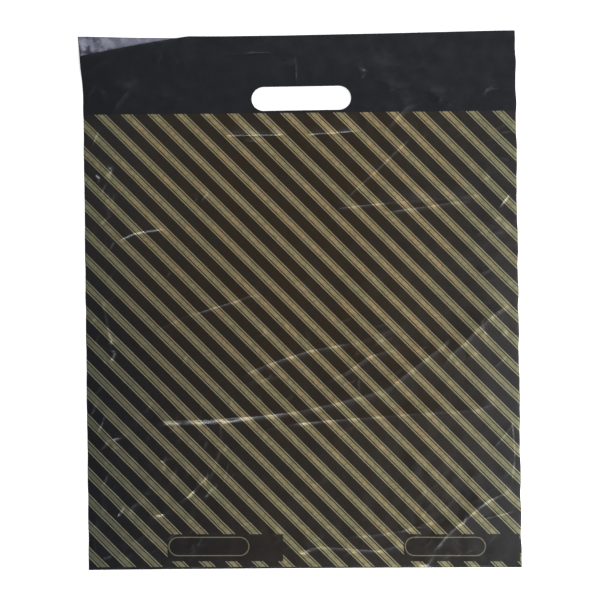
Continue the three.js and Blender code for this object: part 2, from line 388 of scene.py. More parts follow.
# %% [markdown]
# ## Lie of the two panels
#
# The film's height over the table is a formula of place, so both panels, the patches and any mesh
# density can use it. The front panel is pressed down at the welds and at the bottom fold, stands
# about two millimetres off the back one elsewhere, and carries the creases. At the left end of the
# mouth the weld has come open: there the front rim has slipped down, and the back panel slopes up
# to it.

# %% Welds, open corner and patch
LOFT = 2.0
EDGE_REACH = 46.0
CORNER_SLOPE = 0.24
CORNER_FADE = 18.0
PATCH_STEP = 0.12  # how far the bonded patch lifts the front panel
PATCH_EDGE = 1.2  # width of the slope along the patch's edges
RIPPLE_HEIGHT = 0.10
RIPPLE_REACH = (11.0, 9.0)  # how far the puckers reach in from the right and the left weld
LEFT_RIPPLE = 0.4  # the left weld is flatter
LONG_RIPPLE = (4.6, 1.7, 19.0)  # length of the wave per radian, its drift in radians, length of the drift
SHORT_RIPPLE = (0.7, 2.9, 1.0)  # share of the long one's height, length per radian, start
RIPPLE_BASE = 1.7  # keeps the puckers above the flat film


def ease(share):
    share = np.clip(share, 0, 1)
    return share * (2 - share)


def smooth(share):
    share = np.clip(share, 0, 1)
    return share * share * (3 - 2 * share)


def drifting_wave(y, length, drift, drift_length):
    """A wave along a weld whose length drifts, so that no two puckers are alike."""
    return np.sin(y / length + drift * np.sin(y / drift_length))


def rim_dip(x):
    """How far the front rim lies below the mouth, along the width."""
    share = np.clip((RIM_DIP_LENGTH - SIDE - x) / RIM_DIP_LENGTH, 0, 1.1)
    return RIM_DIP * share


def corner_height(x, y):
    """Slope of the opened corner: up from the mouth's edge to the front rim, then down again."""
    dip = rim_dip(x)
    below = MOUTH - y
    inside = np.exp(-(np.maximum(below - dip, 0) / CORNER_FADE) ** 2)
    return CORNER_SLOPE * np.where(below < dip, np.maximum(below, 0), dip * inside)


def weld_ripple(x, y):
    """Puckers of the welded sides: strong at the right side, weak at the left."""
    right = np.exp(-(SIDE - x) / RIPPLE_REACH[0])
    left = LEFT_RIPPLE * np.exp(-(SIDE + x) / RIPPLE_REACH[1])
    share, length, start = SHORT_RIPPLE
    wave = drifting_wave(y, *LONG_RIPPLE) + share * np.sin(y / length + start)
    return (right + left) * RIPPLE_HEIGHT * (RIPPLE_BASE + wave)


def edge_height(x, y):
    """Height that both panels share where they are joined."""
    return 2 * FILM + corner_height(x, y) + weld_ripple(x, y)


def lift(x, y):
    """0 at a weld or at the bottom fold, 1 where the panels are free of each other."""
    return ease((SIDE - np.abs(x)) / EDGE_REACH) * ease((y + MOUTH) / EDGE_REACH)


def patch_print_through(x, y):
    """1 over the bonded patch and 0 beside it, with a narrow slope along its edges."""
    across = smooth((PATCH_SIZE[0] / 2 - np.abs(x - PATCH_MIDDLE[0])) / PATCH_EDGE + 0.5)
    along = smooth((PATCH_SIZE[1] / 2 - np.abs(y - PATCH_MIDDLE[1])) / PATCH_EDGE + 0.5)
    return across * along


corner = np.array([-SIDE + 10.0]), np.array([MOUTH - RIM_DIP])
print("back panel rises %.1f mm at the open corner" % corner_height(*corner)[0])

# %% [markdown]
# ### Unevenness and flanks
#
# No part of a used film is flat. Noise gives it slack in long and short waves, with crumples where
# the bag was pressed. On that come the creases: a place is measured against a crease's path, and the
# film falls away from the path steeply on one side and gently on the other. Every crease runs out
# softly at both ends, or its end would show as a bright spot.

# %% Slack, crumples and creases
CREASE_WIDTH = 9.0
BROAD_SHARE = 0.28  # the broad folds lie flatter here than in the solid model, for the sake of the glints
STEEP_SIDE = (0.42, -0.91)  # the way the steep flanks face
FLANK_CURVE = 1.6
GENTLE_SHARE = 3.0
BROAD_REACH = 2.5  # a broad fold ends after this many of its widths,
GENTLE_REACH = 5  # and a gentle flank after this many
END_SHARE = 0.38  # a crease runs out over this share of its length at each end,
END_WIDTHS = 5.0  # or over this many widths of its flank if it is long
STEEPER_LEFT = 0.28  # creases are steeper at the left, so that they glint as far from the right lamp
NOISE_SEED = 7.3
# waves of the slack film: height, size, number of the noise
BROAD_SLACK = [(0.55, 62.0, 0), (0.32, 24.0, 1)]
FINE_SLACK = [(0.13, 11.0, 2)]
CRUMPLES = [(1.0, 15.0, 3), (0.5, 8.0, 4)]
# middle of a crumpled zone, its radius, height of the crumples
CRUMPLED = [
    ((-150, -175), 75, 1.05), ((150, -205), 60, 0.60), ((105, 170), 55, 0.30),
    ((-165, 190), 55, 0.42), ((60, -60), 110, 0.12), ((185, 60), 50, 0.14),
]


def noise_at(x, y, size, number):
    """Even, repeatable noise between about -1 and 1."""
    places = zip(x / size, y / size)
    return np.array([noise.noise((a, b, NOISE_SEED + number)) for a, b in places])


def slack(x, y, waves):
    return sum(height * noise_at(x, y, size, number) for height, size, number in waves)


def crumple(x, y):
    """Crumples in a few zones where the bag was pressed."""
    amount = np.zeros(x.shape)
    for middle, radius, strength in CRUMPLED:
        amount += strength * np.exp(-((x - middle[0]) ** 2 + (y - middle[1]) ** 2) / radius ** 2)
    return amount * slack(x, y, CRUMPLES)


def along_path(path, x, y):
    """Distance from a path, the share of the path passed there, and if a place is on the steep side."""
    best = np.full(x.shape, np.inf)
    share = np.zeros(x.shape)
    steep = np.zeros(x.shape, bool)
    for i in range(len(path) - 1):
        start, end = np.array(path[i], float), np.array(path[i + 1], float)
        run = end - start
        t = np.clip(((x - start[0]) * run[0] + (y - start[1]) * run[1]) / (run @ run), 0, 1)
        distance = np.hypot(x - start[0] - t * run[0], y - start[1] - t * run[1])
        nearer = distance < best
        best = np.where(nearer, distance, best)
        share = np.where(nearer, (i + t) / (len(path) - 1), share)
        normal = np.array([-run[1], run[0]])
        normal *= np.sign(normal @ STEEP_SIDE)
        side = (x - start[0]) * normal[0] + (y - start[1]) * normal[1]
        steep = np.where(nearer, side > 0, steep)
    return best, share, steep


def within_reach(path, reach, x, y):
    """Numbers of the places that lie near a path."""
    low, high = np.min(path, axis=0) - reach, np.max(path, axis=0) + reach
    return np.nonzero((x > low[0]) & (x < high[0]) & (y > low[1]) & (y < high[1]))[0]


def run_out(path, width, share):
    """1 along a crease and 0 at its ends, where it runs out into the flat film."""
    length = np.sum(np.hypot(*np.diff(np.array(path, float), axis=0).T))
    end = min(END_SHARE, END_WIDTHS * width / length)
    return smooth(share / end) * smooth((1 - share) / end)


def add_crease(crease, x, y, broad, sharp):
    """Adds one crease to the broad and the sharp heights of all places."""
    broad_height, slope, width, path = crease
    near = within_reach(path, max(BROAD_REACH * CREASE_WIDTH, GENTLE_REACH * GENTLE_SHARE * width), x, y)
    distance, share, steep = along_path(path, x[near], y[near])
    fade = run_out(path, width, share)
    broad[near] += BROAD_SHARE * broad_height * fade * np.exp(-(distance / CREASE_WIDTH) ** 2)
    steeper = slope * (1 - STEEPER_LEFT * x[near] / SIDE)
    gentle = np.exp(-distance / (GENTLE_SHARE * width))
    flank = np.where(steep, np.clip(1 - distance / width, 0, 1) ** FLANK_CURVE, gentle)
    sharp[near] += steeper * width * fade * flank


print("steepest crease: slope", max(slope for _, slope, _, _ in CREASES))

# %% [markdown]
# ### Both panels
#
# The heights of the two panels put all this together. Last comes the lie of the outline: the bag is
# a little longer at the right, its mouth and bottom bow inwards, the puckered welds waver, and the
# open corner spreads out.

# %% Heights and lie of the panels
WELD_GAP = 0.2
PARTED_OVER = 3.0  # distance from a joined edge over which the panels part by that gap
SHARP_OVER = (14.0, 4.0)  # distance from the welds and from the bottom over which creases reach full height
# crumples of the back panel at the open corner: height, size, number of the noise
CORNER_CRUMPLES = [(0.9, 10.0, 5), (0.5, 5.0, 6)]
CORNER_CRUMPLE_END = -150.0
CORNER_CRUMPLE_FADE = (45.0, 5.0)  # towards the right and at the left edge
CORNER_HIDDEN = 6.0  # the crumples go on this far behind the front rim
CORNER_RIM_FADE = (8.0, 6.0)  # behind the front rim and at the back one
RISE_FROM = -60.0
RISE_REACH = (100.0, 40.0)  # along the mouth and down from it
WAVER = 0.35
WAVER_WAVE = (8.5, 2.0, 31.0)  # as for the ripples
FINE_WAVER = (0.12, 3.1)  # height, length per radian
WAVER_REACH = 12.0
LEFT_WAVER = 0.45


def front_height(x, y):
    broad = slack(x, y, BROAD_SLACK)
    sharp = slack(x, y, FINE_SLACK) + crumple(x, y)
    for crease in CREASES + CRINKLES:
        add_crease(crease, x, y, broad, sharp)
    from_weld, from_bottom = SIDE - np.abs(x), y + MOUTH
    step = PATCH_STEP * patch_print_through(x, y)
    edge_fade = ease(from_weld / SHARP_OVER[0]) * ease(from_bottom / SHARP_OVER[1])
    parted = WELD_GAP * ease(from_weld / PARTED_OVER) * ease(from_bottom / PARTED_OVER)
    return edge_height(x, y) + parted + lift(x, y) * (LOFT + broad + step) + edge_fade * sharp


def corner_crumple(x, y):
    """Crumples of the back panel where the open corner shows it, strongest at the left end."""
    behind_rim = smooth((y - MOUTH + RIM_DIP + CORNER_HIDDEN) / CORNER_RIM_FADE[0])
    shown = behind_rim * smooth((MOUTH - y) / CORNER_RIM_FADE[1])
    leftmost = smooth((CORNER_CRUMPLE_END - x) / CORNER_CRUMPLE_FADE[0])
    leftmost = leftmost * ease((SIDE + x) / CORNER_CRUMPLE_FADE[1])
    return shown * leftmost * slack(x, y, CORNER_CRUMPLES)


def back_height(x, y):
    free = lift(x, y)
    joined = edge_height(x, y) * (1 - free) + (FILM + corner_height(x, y)) * free
    return joined + corner_crumple(x, y)


def lay_down(x, y):
    """Where a place on the flat bag lies on the table."""
    bow = np.where(y > 0, MOUTH_BOW, BOTTOM_BOW) * (1 - (x / SIDE) ** 2) * (np.abs(y) / MOUTH) ** 4
    rise = CORNER_RISE * smooth((RISE_FROM - x) / RISE_REACH[0])
    rise = rise * smooth((y - MOUTH + RISE_REACH[1]) / RISE_REACH[1])
    near_corner = np.maximum(0, (y - MOUTH + CORNER_REACH) / CORNER_REACH)
    towards_side = np.maximum(0, -2 * x / SIDE - 1)
    waver = WAVER * drifting_wave(y, *WAVER_WAVE) + FINE_WAVER[0] * np.sin(y / FINE_WAVER[1])
    right = np.exp(-(SIDE - x) / WAVER_REACH)
    left = LEFT_WAVER * np.exp(-(SIDE + x) / WAVER_REACH)
    welds = waver * (right - left) + RIGHT_SPREAD * right
    laid_x = x - CORNER_SPREAD * towards_side * near_corner ** 2 + welds
    laid_y = y * (1 + (LENGTH_SKEW / LENGTH) * (x / WIDTH)) - np.sign(y) * bow + rise
    return laid_x, laid_y


probe = np.array([0.0]), np.array([0.0])
print("front panel at the middle: %.2f mm high" % front_height(*probe)[0])

# %% [markdown]
# ## Outlines
#
# The front panel ends at its slipped rim and the back one at the mouth, and the slot goes through
# both. Along the welds and the bottom both outlines have the same points, so that they can be joined.

# %% Outlines of the panels
EDGE_STEP = 3.0
SLOT_STEP = 1.5
BACK_RIM_FADE = 60.0  # distance from the sides over which the back rim gets lower


def steps_between(low, high, step):
    return np.linspace(low, high, max(2, int(round(abs(high - low) / step)) + 1))


RIM_LOW = MOUTH - RIM_DIP
weld_ys = steps_between(-MOUTH, RIM_LOW, EDGE_STEP)
left_ys = np.concatenate([weld_ys, steps_between(RIM_LOW, MOUTH, EDGE_STEP)[1:]])
right_ys = steps_between(-MOUTH, MOUTH, EDGE_STEP)
bottom_xs = steps_between(-SIDE, SIDE, EDGE_STEP)


def ring(*runs):
    """Joins runs of points into one closed outline, each run without its last point."""
    return np.concatenate([np.stack(np.broadcast_arrays(x, y), 1)[:-1] for x, y in runs])


def front_outline():
    mouth_xs = bottom_xs[::-1]
    mouth_ys = MOUTH - rim_dip(mouth_xs)
    return ring((bottom_xs, -MOUTH), (SIDE, right_ys), (mouth_xs, mouth_ys), (-SIDE, weld_ys[::-1]))


def back_outline():
    mouth_xs = bottom_xs[::-1]
    fade = smooth((mouth_xs + SIDE) / BACK_RIM_FADE) * smooth((SIDE - mouth_xs) / BACK_RIM_FADE)
    low = BACK_RIM_LOW * fade
    return ring((bottom_xs, -MOUTH), (SIDE, right_ys), (mouth_xs, MOUTH - low), (-SIDE, left_ys[::-1]))


def slot_outline(shrink=0.0):
    radius = SLOT_WIDTH / 2 - shrink
    reach = (SLOT_LENGTH - SLOT_WIDTH) / 2
    turn = np.linspace(-np.pi / 2, np.pi / 2, int(np.pi * radius / SLOT_STEP) + 1)
    flat = steps_between(-reach, reach, SLOT_STEP)
    right = (SLOT_MIDDLE[0] + reach + radius * np.cos(turn), SLOT_MIDDLE[1] + radius * np.sin(turn))
    left = (SLOT_MIDDLE[0] - reach - radius * np.cos(turn), SLOT_MIDDLE[1] - radius * np.sin(turn))
    top = (SLOT_MIDDLE[0] + flat[::-1], np.full(flat.shape, SLOT_MIDDLE[1] + radius))
    bottom = (SLOT_MIDDLE[0] + flat, np.full(flat.shape, SLOT_MIDDLE[1] - radius))
    return ring(right, top, left, bottom)


print("outline points:", len(front_outline()), "front,", len(slot_outline()), "slot")

# %% [markdown]
# ## Points and triangles
#
# A plain grid would need a cell under a millimetre to show a sharp crease, which is half a million
# faces. Instead the points are placed where they matter: rows along each crease, close together at
# its ridge, rows along every edge, and a loose honeycomb over the rest. A Delaunay triangulation
# then joins them, and it keeps the edges because they are given to it as fixed lines.

# %% Points where the film needs them
CREASE_STEP = 1.8
CRINKLE_STEP = 2.4
WELD_ROWS = (1.2, 2.8, 5.5)  # distances from a joined edge
# rows beside a ridge as shares of the flank's width, those on the steep side above zero
CREASE_ROWS = (0.0, 0.12, 0.25, 0.4, 0.56, 0.76, 1.0, -0.15, -0.6, -1.6)
CRINKLE_ROWS = (0.0, 0.3, 0.62, 1.0, -0.35, -1.4)


def inside(outline, points):
    """Which points lie within a closed outline."""
    x, y = points[:, 0], points[:, 1]
    odd = np.zeros(len(points), bool)
    for start, end in zip(outline, np.roll(outline, -1, axis=0)):
        crosses = (start[1] > y) != (end[1] > y)
        rise = end[1] - start[1]
        at = start[0] + (y - start[1]) * (end[0] - start[0]) / (rise if rise else 1.0)
        odd ^= crosses & (x < at)
    return odd


def crease_points(creases, shares, step):
    """Rows of points along every crease: the ridge itself first, then its flanks."""
    rows = [[] for _ in shares]
    for _, _, width, path in creases:
        for start, end in zip(path[:-1], path[1:]):
            start, end = np.array(start, float), np.array(end, float)
            run = end - start
            length = np.hypot(*run)
            normal = np.array([-run[1], run[0]]) / length
            normal *= np.sign(normal @ STEEP_SIDE)
            for along in np.arange(0.0, 1.0, step / length):
                for k, share in enumerate(shares):
                    rows[k].append(start + along * run + share * width * normal)
    return [point for row in rows for point in row]


def honeycomb(step):
    xs = np.arange(-SIDE, SIDE, step)
    ys = np.arange(-MOUTH, MOUTH, step * math.sqrt(3) / 2)
    return [(x + step / 2 * (j % 2), y) for j, y in enumerate(ys) for x in xs]


def weld_rows():
    """Rows of points beside the welds and the bottom fold, where the panels part."""
    rows = []
    for offset in WELD_ROWS:
        rows += [(side * (SIDE - offset), y) for side in (-1, 1) for y in right_ys]
        rows += [(x, offset - MOUTH) for x in bottom_xs]
    return rows


print(len(weld_rows()), "points beside the welds and the bottom")

# %% [markdown]
# Where rows and honeycomb overlap, points would crowd. They are thinned out in order of importance,
# with a grid of cells that finds a point's neighbours quickly, and what lies outside is left out.

# %% Panels as triangles
FRONT_CELL = 4.4  # of the honeycomb
BACK_CELL = 10.0
CORNER_CELL = 2.2
RIM_STEP = 1.5
RIM_ROWS = (0.0, 2.0, 5.0, -3.0, -6.0)  # distances below the front rim, on the back panel
CORNER_END = -120.0
CORNER_BELOW = 4.0
# least distance of a point from those before it
RIDGE_GAP = 0.22
CRINKLE_GAP = 0.6
WELD_ROW_GAP = 1.0
FRONT_GAP = 1.9
RIM_GAP = 0.8
CORNER_GAP = 1.2
BACK_GAP = 3.0
JOIN_WITHIN = 1e-5  # the triangulation takes points closer than this for one


def thin_out(fixed, groups):
    """Keeps each point that is not too close to one kept before it. Groups are (points, distance)."""
    cell = 1.0
    grid = {}
    kept = []

    def near(point, distance):
        reach = int(math.ceil(distance / cell))
        cx, cy = int(point[0] // cell), int(point[1] // cell)
        for i in range(cx - reach, cx + reach + 1):
            for j in range(cy - reach, cy + reach + 1):
                for other in grid.get((i, j), ()):
                    if math.hypot(other[0] - point[0], other[1] - point[1]) < distance:
                        return True
        return False

    def keep(point):
        grid.setdefault((int(point[0] // cell), int(point[1] // cell)), []).append(point)
        kept.append(point)

    for point in fixed:
        keep((float(point[0]), float(point[1])))
    for points, distance in groups:
        for point in points:
            if not near(point, distance):
                keep((float(point[0]), float(point[1])))
    return kept


def triangulate(outline, hole, groups):
    """Points and triangles of a panel with an outline and a hole, from groups of inner points."""
    fixed = np.concatenate([outline, hole])
    within = []
    for points, distance in groups:
        points = np.array(points)
        free = inside(outline, points) & ~inside(hole, points)
        within.append((points[free], distance))
    points = thin_out(fixed, within)
    first, second = len(outline), len(hole)
    edges = [(i, (i + 1) % first) for i in range(first)]
    edges += [(first + i, first + (i + 1) % second) for i in range(second)]
    laid = geometry.delaunay_2d_cdt([Vector(p) for p in points], edges, [], 0, JOIN_WITHIN)
    flat = np.array([tuple(v) for v in laid[0]])
    triangles = np.array(laid[2])
    middles = flat[triangles].mean(axis=1)
    keep = inside(outline, middles) & ~inside(hole, middles)
    return flat, triangles[keep]


front_flat, front_faces = triangulate(front_outline(), slot_outline(), [
    (crease_points(CREASES, CREASE_ROWS, CREASE_STEP), RIDGE_GAP),
    (crease_points(CRINKLES, CRINKLE_ROWS, CRINKLE_STEP), CRINKLE_GAP),
    (weld_rows(), WELD_ROW_GAP),
    (honeycomb(FRONT_CELL), FRONT_GAP),
])
rim_xs = steps_between(-SIDE + RIM_STEP, RIM_DIP_LENGTH - SIDE, RIM_STEP)
rim_points = [(x, MOUTH - rim_dip(x) - drop) for drop in RIM_ROWS for x in rim_xs]
corner_points = [(x, y) for x, y in honeycomb(CORNER_CELL) if x < CORNER_END and y > RIM_LOW - CORNER_BELOW]
back_flat, back_faces = triangulate(back_outline(), slot_outline(), [
    (rim_points, RIM_GAP),
    (corner_points, CORNER_GAP),
    (weld_rows(), WELD_ROW_GAP),
    (honeycomb(BACK_CELL), BACK_GAP),
])
print("front:", len(front_faces), "triangles, back:", len(back_faces))

# %% [markdown]
# ## The film
#
# Both panels become one open skin: they share their points along the two welds and the bottom fold,
# and stay apart at the mouth and round the slot. A map named film keeps where each point lay on the
# flat panel, so that the print can be laid on the film itself. A Solidify modifier gives the skin its
# thickness inwards, so that the inside of the bag is a surface of its own, without print. It is
# turned into faces before the shading.

# %% Build the bag's skin
WELD_WITHIN = 0.002  # points of the two panels closer than this are one


def mesh_from_panels(name, panels):
    """One mesh from panels of (flat points, heights, triangles, faces up, print runs left to right)."""
    vertices, faces, film_places = [], [], []
    for flat, heights, triangles, up, mirrored in panels:
        x, y = lay_down(flat[:, 0], flat[:, 1])
        offset = len(vertices)
        vertices += [tuple(p) for p in np.stack([x, y, heights], 1) * MM]
        turned = triangles if up else triangles[:, ::-1]
        faces += [tuple(int(i) + offset for i in face) for face in turned]
        film_places += [((-u if mirrored else u) * MM, v * MM) for u, v in flat]
    mesh = bpy.data.meshes.new(name)
    mesh.from_pydata(vertices, [], faces)
    film_map = mesh.uv_layers.new(name="film")
    corners = np.zeros(len(mesh.loops), np.int32)
    mesh.loops.foreach_get("vertex_index", corners)
    film_map.data.foreach_set("uv", np.array(film_places)[corners].astype(np.float32).ravel())
    return mesh


def smooth_object(name, mesh):
    mesh.polygons.foreach_set("use_smooth", np.ones(len(mesh.polygons), bool))
    piece = bpy.data.objects.new(name, mesh)
    bpy.context.scene.collection.objects.link(piece)
    return piece


def weld_panels(mesh):
    """Joins the points that both panels have in common along the sides and the bottom."""
    work = bmesh.new()
    work.from_mesh(mesh)
    before = len(work.verts)
    bmesh.ops.remove_doubles(work, verts=work.verts, dist=WELD_WITHIN * MM)
    joined = before - len(work.verts)
    work.to_mesh(mesh)
    work.free()
    return joined


def add_thickness(piece, thickness):
    solid = piece.modifiers.new("film_thickness", "SOLIDIFY")
    solid.thickness = thickness * MM
    solid.offset = -1
    solid.material_offset = 1
    solid.material_offset_rim = 1


front_z = front_height(front_flat[:, 0], front_flat[:, 1])
back_z = back_height(back_flat[:, 0], back_flat[:, 1])
bag_mesh = mesh_from_panels("carrier_bag", [
    (front_flat, front_z, front_faces, True, False),
    (back_flat, back_z, back_faces, False, True),
])
joined = weld_panels(bag_mesh)
bag = smooth_object("carrier_bag", bag_mesh)
add_thickness(bag, FILM)
print("skin:", len(bag_mesh.polygons), "faces,", joined, "points welded, highest %.1f mm" % front_z.max())

# %% [markdown]
# ## Handle patches
#
# Round the slot each panel has a second film bonded inside it, which prints through as a faint
# rectangle. The patches are made from the same height formula, a little under the front panel and a
# little over the back one, and the same slot is punched through them.

# %% Build the two patches
PATCH_GAP = 0.12
PATCH_CELL = 4.5
PATCH_POINT_GAP = 2.2
PATCH_CREASE_GAP = 0.8
PATCH_SLOT_EXTRA = 0.15  # the patch's slot is this much larger all round than the film's


def patch_outline():
    half_x, half_y = PATCH_SIZE[0] / 2, PATCH_SIZE[1] / 2
    xs = PATCH_MIDDLE[0] + steps_between(-half_x, half_x, EDGE_STEP)
    ys = PATCH_MIDDLE[1] + steps_between(-half_y, half_y, EDGE_STEP)
    return ring((xs, ys[0]), (xs[-1], ys), (xs[::-1], ys[-1]), (xs[0], ys[::-1]))


def make_patch(name, under_front):
    flat, faces = triangulate(patch_outline(), slot_outline(-PATCH_SLOT_EXTRA), [
        (crease_points(CREASES, CREASE_ROWS, CREASE_STEP), PATCH_CREASE_GAP),
        (honeycomb(PATCH_CELL), PATCH_POINT_GAP),
    ])
    x, y = flat[:, 0], flat[:, 1]
    if under_front:
        heights = front_height(x, y) - FILM - PATCH_GAP
    else:
        heights = back_height(x, y) + FILM + PATCH_GAP + PATCH_FILM
    mesh = mesh_from_panels(name, [(flat, heights, faces, True, False)])
    piece = smooth_object(name, mesh)
    add_thickness(piece, PATCH_FILM)
    print(name, len(faces), "triangles")
    return piece


front_patch = make_patch("front_patch", True)
back_patch = make_patch("back_patch", False)

# %% [markdown]
# ## The stripe print
#
# The print is a field of slanting stripes: a wide gold band between two thin gold lines. It starts
# in a clean edge below the plain black band at the mouth, leaves two bare windows along the bottom,
# and lies a third of a degree askew on the film. All of it is arithmetic on the film map, so it
# stays sharp at any distance, needs no picture, and bends with the film.

# %% Masks of the print
PRINT_TOP = 174.5  # height of the print's upper edge at the bag's middle
PRINT_BOTTOM = -246.0
PRINT_TILT = math.radians(-0.37)
STRIPE_PITCH = 24.52  # along the width
STRIPE_LEAN = 0.994  # width that a stripe crosses while it falls by one
SQUARE_TO_STRIPE = math.sin(math.pi / 4)  # from a distance along the width to one square to a stripe
STRIPE_START = -184.3  # middle of the first stripe along the print's upper edge
BAND_HALF = 1.84
LINE_AT = 3.28
LINE_HALF = 0.48
INK_EDGE = 0.18
WINDOW_PITCH = 218.6
WINDOW_MIDDLE = (-70.8, -228.0)
WINDOW_SIZE = (107.0, 25.6)
PILL_SIZE = (74.0, 17.2)
PILL_MIDDLE = (-85.9, -226.8)
PILL_LINE = 0.42
PILL_STRENGTH = 0.6
HATCH_PITCH = 1.3  # fine rungs across the wide band


def print_place(tree):
    """Place on the film in millimetres, along and square to the print's upper edge."""
    film = add_node(tree, "ShaderNodeUVMap", uv_map="film")
    inputs = {"Vector": film.outputs[0], "Scale": (MM, MM, MM)}
    inputs.update({"Location": (0, PRINT_TOP * MM, 0), "Rotation": (0, 0, PRINT_TILT)})
    turned = add_node(tree, "ShaderNodeMapping", inputs, vector_type="TEXTURE")
    place = add_node(tree, "ShaderNodeSeparateXYZ", {0: turned.outputs[0]})
    return place.outputs[0], place.outputs[1], turned.outputs[0]


def from_middle(tree, value, middle, pitch):
    """Signed distance from the nearest of a row of middles."""
    share = calc(tree, "DIVIDE", calc(tree, "SUBTRACT", value, middle), pitch)
    part = calc(tree, "SUBTRACT", calc(tree, "FRACT", calc(tree, "ADD", share, 0.5)), 0.5)
    return calc(tree, "MULTIPLY", part, pitch)


def stripe_masks(tree, across, up):
    """The wide band and the two thin lines of the stripes."""
    slanted = calc(tree, "ADD", across, calc(tree, "MULTIPLY", up, STRIPE_LEAN))
    sideways = from_middle(tree, slanted, STRIPE_START, STRIPE_PITCH)
    distance = calc(tree, "MULTIPLY", calc(tree, "ABSOLUTE", sideways), SQUARE_TO_STRIPE)
    band = step_down(tree, distance, BAND_HALF, INK_EDGE)
    beside = calc(tree, "ABSOLUTE", calc(tree, "SUBTRACT", distance, LINE_AT))
    line = step_down(tree, beside, LINE_HALF, INK_EDGE)
    return band, line


def box_mask(tree, across, up, size):
    inside_x = step_down(tree, calc(tree, "ABSOLUTE", across), size[0] / 2, INK_EDGE)
    inside_y = step_down(tree, calc(tree, "ABSOLUTE", up), size[1] / 2, INK_EDGE)
    return calc(tree, "MULTIPLY", inside_x, inside_y)


def pill_line(tree, across, up):
    """Outline of a pill: a fixed distance from a level stretch."""
    radius = PILL_SIZE[1] / 2
    level_half = PILL_SIZE[0] / 2 - radius
    past = calc(tree, "MAXIMUM", calc(tree, "SUBTRACT", calc(tree, "ABSOLUTE", across), level_half), 0.0)
    squares = calc(tree, "ADD", calc(tree, "MULTIPLY", past, past), calc(tree, "MULTIPLY", up, up))
    off = calc(tree, "ABSOLUTE", calc(tree, "SUBTRACT", calc(tree, "SQRT", squares), radius))
    return step_down(tree, off, PILL_LINE, INK_EDGE)


def print_masks(tree, across, up):
    """Ink of the bands, ink of the lines, the printed field, and the rungs across the bands."""
    band, line = stripe_masks(tree, across, up)
    field_height = PRINT_TOP - PRINT_BOTTOM
    level = calc(tree, "ABSOLUTE", calc(tree, "ADD", up, field_height / 2))
    field = step_down(tree, level, field_height / 2, INK_EDGE)
    window_across = from_middle(tree, across, WINDOW_MIDDLE[0], WINDOW_PITCH)
    window_up = calc(tree, "SUBTRACT", up, WINDOW_MIDDLE[1] - PRINT_TOP)
    window = box_mask(tree, window_across, window_up, WINDOW_SIZE)
    pill_across = from_middle(tree, across, PILL_MIDDLE[0], WINDOW_PITCH)
    pill_up = calc(tree, "SUBTRACT", up, PILL_MIDDLE[1] - PRINT_TOP)
    pill = pill_line(tree, pill_across, pill_up)
    striped = calc(tree, "MULTIPLY", field, calc(tree, "SUBTRACT", 1.0, window))
    band = calc(tree, "MULTIPLY", band, striped)
    pill = calc(tree, "MULTIPLY", pill, PILL_STRENGTH)
    line = calc(tree, "MAXIMUM", calc(tree, "MULTIPLY", line, striped), pill)
    along = calc(tree, "MULTIPLY", calc(tree, "SUBTRACT", across, up), SQUARE_TO_STRIPE)
    rung = calc(tree, "SINE", calc(tree, "MULTIPLY", along, 2 * math.pi / HATCH_PITCH))
    return band, line, field, rung


print("stripe every %.1f mm, square to the stripes" % (STRIPE_PITCH * SQUARE_TO_STRIPE))

# %% [markdown]
# ## Finish of the film
#
# Polyethylene film is smooth but never even: it hazes in patches, and its surface is full of fine
# crinkles that break a highlight into threads. Colour, gloss and crinkle all come from noise on the
# film map, at the sizes that the picture shows.

# %% Noise and crinkles
COARSE_CRINKLE = (8.0, 2.0, 0.5)  # size in millimetres, detail, roughness
FINE_CRINKLE = (2.2, 1.0, 0.4)
FINE_SHARE = 0.08


def noise_value(tree, place, size, detail, roughness):
    """Cloudy noise with blobs of a size in millimetres, from 0 to 1."""
    inputs = {"Vector": place, "Scale": 1.0 / size, "Detail": detail, "Roughness": roughness}
    return add_node(tree, "ShaderNodeTexNoise", inputs).outputs["Fac"]


def clouds(tree, place, kind):
    """Noise of one kind, spread over its own range of values."""
    grain, ramp = kind
    return spread_range(tree, noise_value(tree, place, *grain), *ramp)


def crinkle(tree, surface, place, height):
    """Fine crinkles: a coarse and a fine noise as bump."""
    coarse = noise_value(tree, place, *COARSE_CRINKLE)
    fine = noise_value(tree, place, *FINE_CRINKLE)
    both = calc(tree, "ADD", coarse, calc(tree, "MULTIPLY", fine, FINE_SHARE))
    bump = add_node(tree, "ShaderNodeBump", {"Height": both, "Distance": height * MM, "Strength": 1.0})
    tree.links.new(bump.outputs[0], surface.inputs["Normal"])


print("crinkles of %.1f and %.1f mm" % (COARSE_CRINKLE[0], FINE_CRINKLE[0]))

# %% [markdown]
# ### Colour of the print
#
# The gold is a bronze ink, so it drifts between olive and bronze along a stripe. Plain ramps across the
# film paint light and shade into the colour: the black is warm over the middle and cool towards the sides
# and the bottom, which is a painted reflection of the sky; the print is darker at the lower left and the
# gold duller at the far right, which is painted shade; and the black is paler at the upper sides, which is
# a painted sheen. Whether ink, wear or light does that can't be told from one picture, so plain ramps
# across the film give it.

# %% Black film and gold ink
# where the warm ramps fade, towards the sides and the bottom, the cool black is a painted reflection of the
# sky
BLACK_COOL = (0.0096, 0.0100, 0.0116)
BLACK_WARM = (0.0225, 0.0138, 0.0046)
# painted shade: the black at the lower left
BLACK_SHADED = (0.0060, 0.0062, 0.0078)
# painted sheen: the paler black at the upper sides
BLACK_SHEEN = (0.0205, 0.0180, 0.0150)
GOLD_OLIVE = (0.308, 0.330, 0.172)
GOLD_BRONZE = (0.525, 0.360, 0.170)
GOLD_DULL = (0.165, 0.145, 0.078)
# painted shade: the gold at the lower left and at the far right
GOLD_SHADED = (0.138, 0.138, 0.098)
LINE_OLIVE = (0.300, 0.298, 0.190)
LINE_GOLD = (0.365, 0.312, 0.172)
